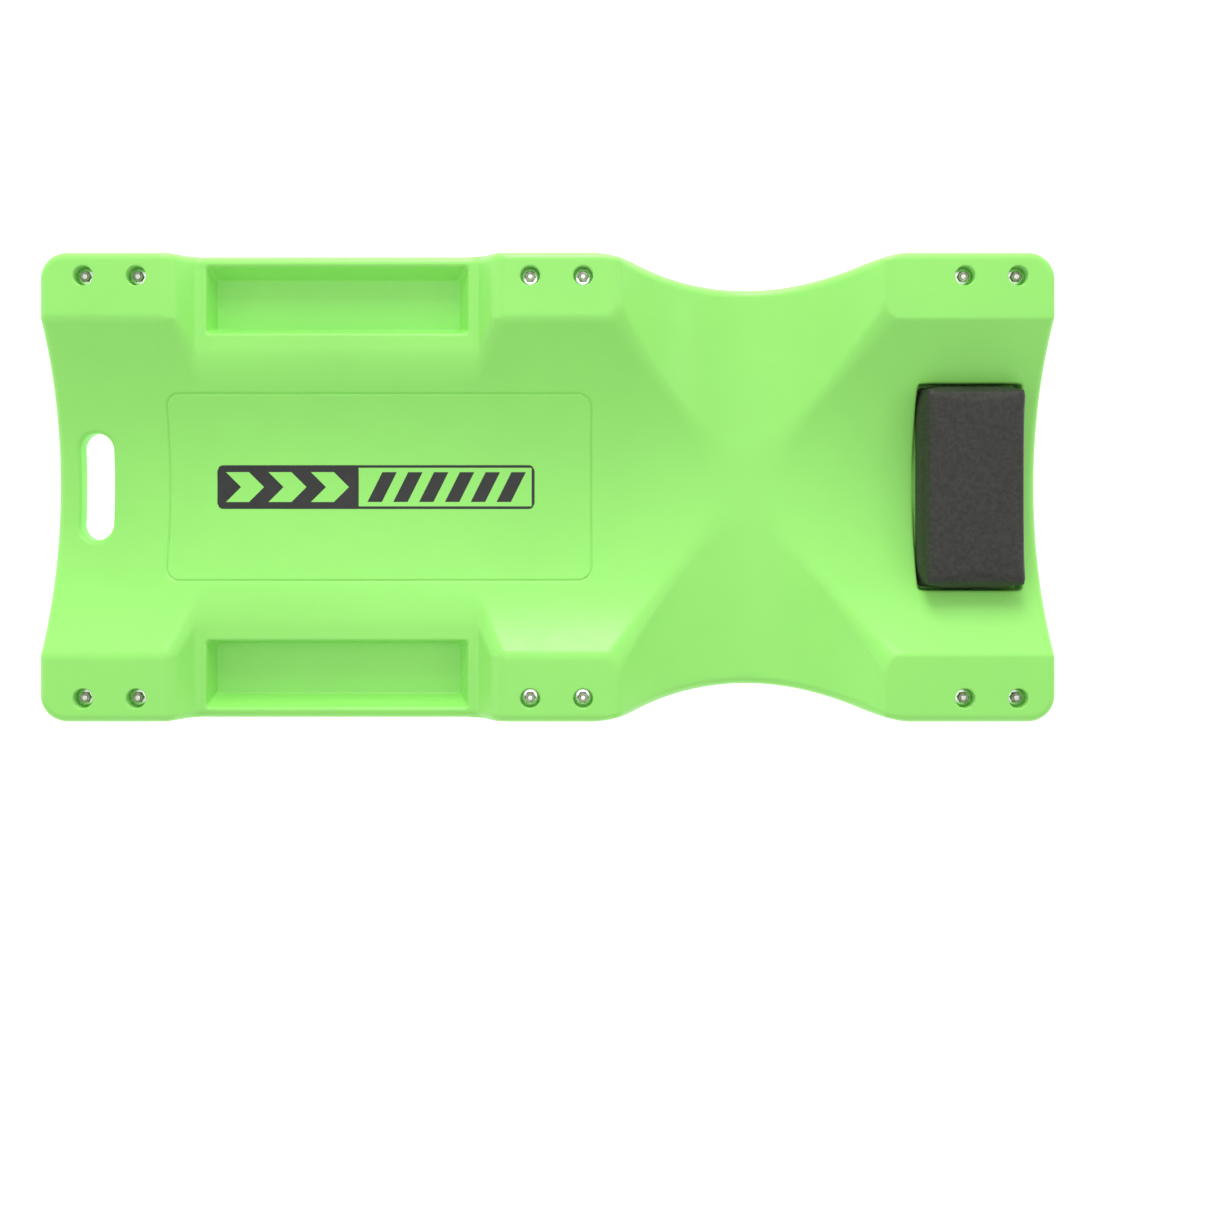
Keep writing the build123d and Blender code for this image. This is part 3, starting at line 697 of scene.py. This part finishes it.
def moulded_plastic(name, colour, roughness, peel, mottle=0.06, specular=0.5):
    """Moulded plastic: cloudy colour, an orange-peel skin and fine handling marks."""
    material, shader, where, add, link = node_material(name)
    shader.inputs["Specular IOR Level"].default_value = specular
    cloud = add("TexNoise", [("Vector", where)], in_Scale=9.0, in_Detail=4.0, in_Roughness=0.6)
    dark = [c * (1 - mottle) for c in colour]
    light = [min(1.0, c * (1 + mottle)) for c in colour]
    link(ramp(add, cloud.outputs["Fac"], [(0.3, dark), (0.7, light)]), "Base Color")
    skin = add("TexNoise", [("Vector", where)], in_Scale=420.0, in_Detail=2.0)
    scuff = add("TexNoise", [("Vector", where)], in_Scale=38.0, in_Detail=8.0, in_Roughness=0.7)
    rough = add("MapRange", [("Value", scuff.outputs["Fac"])], in_From_Min=0.3, in_From_Max=0.7,
                in_To_Min=roughness - 0.05, in_To_Max=roughness + 0.07)
    link(rough.outputs["Result"], "Roughness")
    bump = add("Bump", [("Height", skin.outputs["Fac"])], in_Strength=peel, in_Distance=0.0004)
    link(bump.outputs["Normal"], "Normal")
    return material


def zinc_steel(name, roughness=0.30, tint=0.5):
    """Zinc-plated pressed steel: cloudy spangle with brown and blue passivation tints."""
    material, shader, where, add, link = node_material(name)
    shader.inputs["Metallic"].default_value = 1.0
    cloud = add("TexNoise", [("Vector", where)], in_Scale=55.0, in_Detail=6.0, in_Roughness=0.65)
    patch = add("TexNoise", [("Vector", where)], in_Scale=26.0, in_Detail=3.0, in_Roughness=0.5)
    tone = add("MixRGB", [("Color1", patch.outputs["Fac"]), ("Color2", cloud.outputs["Fac"])], in_Fac=0.4)
    silver = (0.92, 0.92, 0.91)
    brown = tuple(s + (b - s) * tint for s, b in zip(silver, (0.30, 0.25, 0.21)))
    blue = tuple(s + (b - s) * tint for s, b in zip(silver, (0.34, 0.40, 0.42)))
    stops = [(0.36, brown), (0.45, silver), (0.54, silver), (0.66, blue)]
    link(ramp(add, tone.outputs["Color"], stops), "Base Color")
    spangle = add("TexVoronoi", [("Vector", where)], in_Scale=420.0)
    rough = add("MapRange", [("Value", spangle.outputs["Distance"])], in_From_Max=0.8,
                in_To_Min=roughness - 0.06, in_To_Max=roughness + 0.10)
    link(rough.outputs["Result"], "Roughness")
    grain = add("TexNoise", [("Vector", where)], in_Scale=900.0, in_Detail=3.0)
    bump = add("Bump", [("Height", grain.outputs["Fac"])], in_Strength=0.12, in_Distance=0.0002)
    link(bump.outputs["Normal"], "Normal")
    return material


def nut_zinc():
    """Bright zinc on a nut's flange; the hexagon is painted darker and warmer, a painted reflection of the green
    pocket round it.
    """
    material, shader, where, add, link = node_material("nut_zinc")
    shader.inputs["Metallic"].default_value = 1.0
    height = add("SeparateXYZ", [("Vector", where)]).outputs["Z"]
    raised = add("MapRange", [("Value", height)], in_From_Min=NUT_SEAT_Z + NUT_FLANGE_Z[0],
                 in_From_Max=NUT_SEAT_Z + NUT_FLANGE_Z[1])
    stain = add("TexNoise", [("Vector", where)], in_Scale=260.0, in_Detail=4.0, in_Roughness=0.6)
    # painted reflection: the hexagon above the flange gets a darker, warmer copy of the zinc, standing in for the
    # green pocket and dark surroundings it reflects
    painted_dark_reflection = ramp(add, stain.outputs["Fac"], [(0.35, (0.24, 0.22, 0.16)), (0.65, (0.46, 0.45, 0.38))])
    bright = ramp(add, stain.outputs["Fac"], [(0.35, (0.90, 0.90, 0.89)), (0.65, (0.97, 0.97, 0.96))])
    mix = add("MixRGB", [("Fac", raised.outputs["Result"]), ("Color1", bright), ("Color2", painted_dark_reflection)])
    link(mix.outputs["Color"], "Base Color")
    rough = add("MapRange", [("Value", stain.outputs["Fac"])], in_To_Min=0.05, in_To_Max=0.16)
    link(rough.outputs["Result"], "Roughness")
    return material


def greased_steel():
    """Ball-race balls under golden grease."""
    material, shader, where, add, link = node_material("greased_balls")
    shader.inputs["Metallic"].default_value = 1.0
    smear = add("TexNoise", [("Vector", where)], in_Scale=300.0, in_Detail=3.0)
    stops = [(0.4, (0.75, 0.72, 0.66)), (0.6, (0.78, 0.52, 0.14))]
    link(ramp(add, smear.outputs["Fac"], stops), "Base Color")
    rough = add("MapRange", [("Value", smear.outputs["Fac"])], in_To_Min=0.12, in_To_Max=0.35)
    link(rough.outputs["Result"], "Roughness")
    return material


def grained_vinyl():
    """Black leather-grained vinyl."""
    material, shader, where, add, link = node_material("headrest_vinyl")
    shader.inputs["Specular IOR Level"].default_value = 0.45
    cells = add("TexVoronoi", [("Vector", where)], in_Scale=800.0)
    creases = add("TexNoise", [("Vector", where)], in_Scale=220.0, in_Detail=5.0, in_Roughness=0.65)
    both_grains = [("Color1", cells.outputs["Distance"]), ("Color2", creases.outputs["Fac"])]
    height = add("MixRGB", both_grains, in_Fac=0.45)
    stops = [(0.35, (0.018, 0.018, 0.015)), (0.7, (0.038, 0.038, 0.033))]
    link(ramp(add, creases.outputs["Fac"], stops), "Base Color")
    rough = add("MapRange", [("Value", cells.outputs["Distance"])], in_From_Max=0.7,
                in_To_Min=0.42, in_To_Max=0.62)
    link(rough.outputs["Result"], "Roughness")
    bump = add("Bump", [("Height", height.outputs["Color"])], in_Strength=0.5, in_Distance=0.0005)
    link(bump.outputs["Normal"], "Normal")
    return material


def fibrous(name, dark, pale, cell, roughness):
    """Raw hardboard or foam: small cells in two tones under cloudy stains."""
    material, shader, where, add, link = node_material(name)
    cells = add("TexVoronoi", [("Vector", where)], in_Scale=1 / cell)
    stains = add("TexNoise", [("Vector", where)], in_Scale=30.0, in_Detail=6.0, in_Roughness=0.7)
    both_tones = [("Color1", cells.outputs["Distance"]), ("Color2", stains.outputs["Fac"])]
    tone = add("MixRGB", both_tones, in_Fac=0.5)
    link(ramp(add, tone.outputs["Color"], [(0.25, dark), (0.65, pale)]), "Base Color")
    rough = add("MapRange", [("Value", stains.outputs["Fac"])],
                in_To_Min=roughness - 0.1, in_To_Max=roughness + 0.1)
    link(rough.outputs["Result"], "Roughness")
    bump = add("Bump", [("Height", cells.outputs["Distance"])], in_Strength=0.4, in_Distance=0.0004)
    link(bump.outputs["Normal"], "Normal")
    return material


def printed_film():
    """A plain two-part print: chevrons on dark ink, then dark slanted stripes in a keyline."""
    material, shader, where, add, link = node_material("printed_film")
    axes = add("SeparateXYZ", [("Vector", where)])
    x, y = axes.outputs["X"], axes.outputs["Y"]

    def calc(kind, a, b=None):
        node = add("Math", operation=kind)
        for socket, value in zip(node.inputs, (a, b)):
            if isinstance(value, (int, float)):
                socket.default_value = value
            elif value is not None:
                material.node_tree.links.new(value, socket)
        return node.outputs["Value"]

    def within(value, low, high):
        return calc("MULTIPLY", calc("GREATER_THAN", value, low), calc("LESS_THAN", value, high))

    away = calc("ABSOLUTE", y)
    inked = calc("LESS_THAN", away, PRINT_HALF_Y)
    split = DECAL_X[0] + PRINT_SPLIT
    arrow = calc("SUBTRACT", calc("ADD", x, away), DECAL_X[0] + PRINT_GAP + PRINT_HALF_Y)
    arrow = calc("DIVIDE", arrow, CHEVRON_PITCH)
    chevrons = calc("LESS_THAN", calc("FRACT", arrow), CHEVRON_SHARE)
    chevrons = calc("MULTIPLY", chevrons, within(arrow, 0, CHEVRONS))
    slant = calc("SUBTRACT", x, calc("MULTIPLY", y, STRIPE_LEAN))
    slant = calc("SUBTRACT", slant, split + PRINT_GAP + STRIPE_LEAN * PRINT_HALF_Y)
    slant = calc("DIVIDE", slant, STRIPE_PITCH)
    stripes = calc("LESS_THAN", calc("FRACT", slant), STRIPE_SHARE)
    stripes = calc("MULTIPLY", stripes, within(slant, 0, STRIPES))
    window = calc("LESS_THAN", away, DECAL_HALF_Y - KEYLINE_W)
    window = calc("MULTIPLY", window, within(x, split, DECAL_X[1] - KEYLINE_W))
    window = calc("MULTIPLY", window, calc("SUBTRACT", 1.0, calc("MULTIPLY", stripes, inked)))
    bare = calc("MAXIMUM", calc("MULTIPLY", chevrons, inked), window)
    wear = add("TexNoise", [("Vector", where)], in_Scale=60.0, in_Detail=6.0, in_Roughness=0.7)
    ink = ramp(add, wear.outputs["Fac"], [(0.3, (0.012, 0.014, 0.012)), (0.7, (0.022, 0.024, 0.022))])
    mix = add("MixRGB", [("Fac", bare), ("Color1", ink)])
    mix.inputs["Color2"].default_value = (*LIME, 1)
    link(mix.outputs["Color"], "Base Color")
    rough = add("MapRange", [("Value", wear.outputs["Fac"])], in_To_Min=0.30, in_To_Max=0.42)
    link(rough.outputs["Result"], "Roughness")
    return material


LIME = (0.296, 0.79, 0.151)
PRINT_SPLIT = 0.1465
PRINT_HALF_Y = 0.0155
PRINT_GAP = 0.009
KEYLINE_W = 0.0030
CHEVRONS = 3
CHEVRON_PITCH = 0.0440
CHEVRON_SHARE = 0.54
STRIPES = 6
STRIPE_PITCH = 0.0268
STRIPE_SHARE = 0.56
STRIPE_LEAN = 0.5
deck_plastic = moulded_plastic("lime_polyethylene", LIME, 0.36, 0.05, mottle=0.025)
wheel_plastic = moulded_plastic(
    "black_wheel_plastic", (0.010, 0.010, 0.0095), 0.36, 0.12, mottle=0.3, specular=0.4
)
tread_plastic = moulded_plastic("black_tread", (0.013, 0.0125, 0.012), 0.46, 0.20, mottle=0.3, specular=0.4)
pressed_zinc = zinc_steel("zinc_pressed_steel", 0.24, 0.75)
bright_zinc = zinc_steel("bright_zinc", 0.12, 0.10)
ball_steel = greased_steel()
vinyl = grained_vinyl()
film = printed_film()
hardboard = fibrous("raw_hardboard", (0.05, 0.035, 0.022), (0.12, 0.08, 0.05), 0.0012, 0.75)
foam = fibrous("cushion_foam", (0.45, 0.38, 0.22), (0.68, 0.60, 0.40), 0.0008, 0.85)

SLOT_MATERIALS = {
    "zinc_steel": pressed_zinc,
    "bright_zinc": bright_zinc,
    "ball_steel": ball_steel,
    "wheel_plastic": wheel_plastic,
    "wheel_tread": tread_plastic,
    "decal_print": film,
    "headrest_vinyl": vinyl,
    "headrest_board": hardboard,
    "headrest_foam": foam,
}
for subpart in frame["record"]["subparts"]:
    material = SLOT_MATERIALS.get(subpart["material_slot"])
    if material:
        mesh = frame["nodes"][subpart["node"]].data
        mesh.materials.clear()
        mesh.materials.append(material)

nuts = frame["nodes"]["stud_nuts"].data
nuts.materials.clear()
nuts.materials.append(nut_zinc())

deck_shell(deck_plastic)
parting_line(deck_plastic)
decal(film)
headrest(vinyl)

# ---- floor, light and camera -----------------------------------------------------------------------
FLOOR_GLOW = 0.62  # a lit table, so that the shadows stay faint
WORLD_STRENGTH = 0.76
floor_material, floor_shader, *_ = node_material("pale_floor")
floor_shader.inputs["Base Color"].default_value = (0.93, 0.93, 0.93, 1)
floor_shader.inputs["Roughness"].default_value = 0.8
floor_shader.inputs["Emission Color"].default_value = (1, 1, 1, 1)
floor_shader.inputs["Emission Strength"].default_value = FLOOR_GLOW
floor_mesh = bpy.data.meshes.new("floor")
floor_mesh.from_pydata([(-6, -6, 0), (6, -6, 0), (6, 6, 0), (-6, 6, 0)], [], [(0, 1, 2, 3)])
floor_mesh.materials.append(floor_material)
floor = bpy.data.objects.new("floor", floor_mesh)
bpy.context.scene.collection.objects.link(floor)

world = bpy.data.worlds.new("studio")
world.use_nodes = True
world.node_tree.nodes["Background"].inputs["Color"].default_value = (1, 1, 1, 1)
world.node_tree.nodes["Background"].inputs["Strength"].default_value = WORLD_STRENGTH
bpy.context.scene.world = world


def softbox(name, place, size, power):
    """A square area light aimed at the middle of the board."""
    light = bpy.data.lights.new(name, "AREA")
    light.shape = "SQUARE"
    light.size = size
    light.energy = power
    obj = bpy.data.objects.new(name, light)
    obj.location = place
    bpy.context.scene.collection.objects.link(obj)
    obj.rotation_euler = (Vector((0, 0, 0.05)) - obj.location).to_track_quat("-Z", "Y").to_euler()


softbox("key", (0.0, 2.6, 1.1), 1.4, 50)
softbox("fill", (-2.6, 0.0, 1.1), 1.4, 7)
softbox("overhead", (0.1, 0.2, 2.4), 1.6, 4)
softbox("glint", (2.4, 0.4, 2.0), 0.5, 4)

CAMERA_ABOVE_TOP = 1.336
SCALE_PX_PER_M = 1003.5  # at the height of the pads
FRAME_PX = 1214
CAMERA_XY = (0.0096, -0.001)
CAMERA_SHIFT = (0.041, -0.098)
camera_data = bpy.data.cameras.new("camera")
camera_data.lens = SCALE_PX_PER_M * CAMERA_ABOVE_TOP / FRAME_PX * camera_data.sensor_width
camera_data.shift_x, camera_data.shift_y = CAMERA_SHIFT
camera = bpy.data.objects.new("camera", camera_data)
camera.location = (*CAMERA_XY, TOP_Z + CAMERA_ABOVE_TOP)
bpy.context.scene.collection.objects.link(camera)
bpy.context.scene.camera = camera
bpy.context.scene.view_settings.view_transform = "Standard"
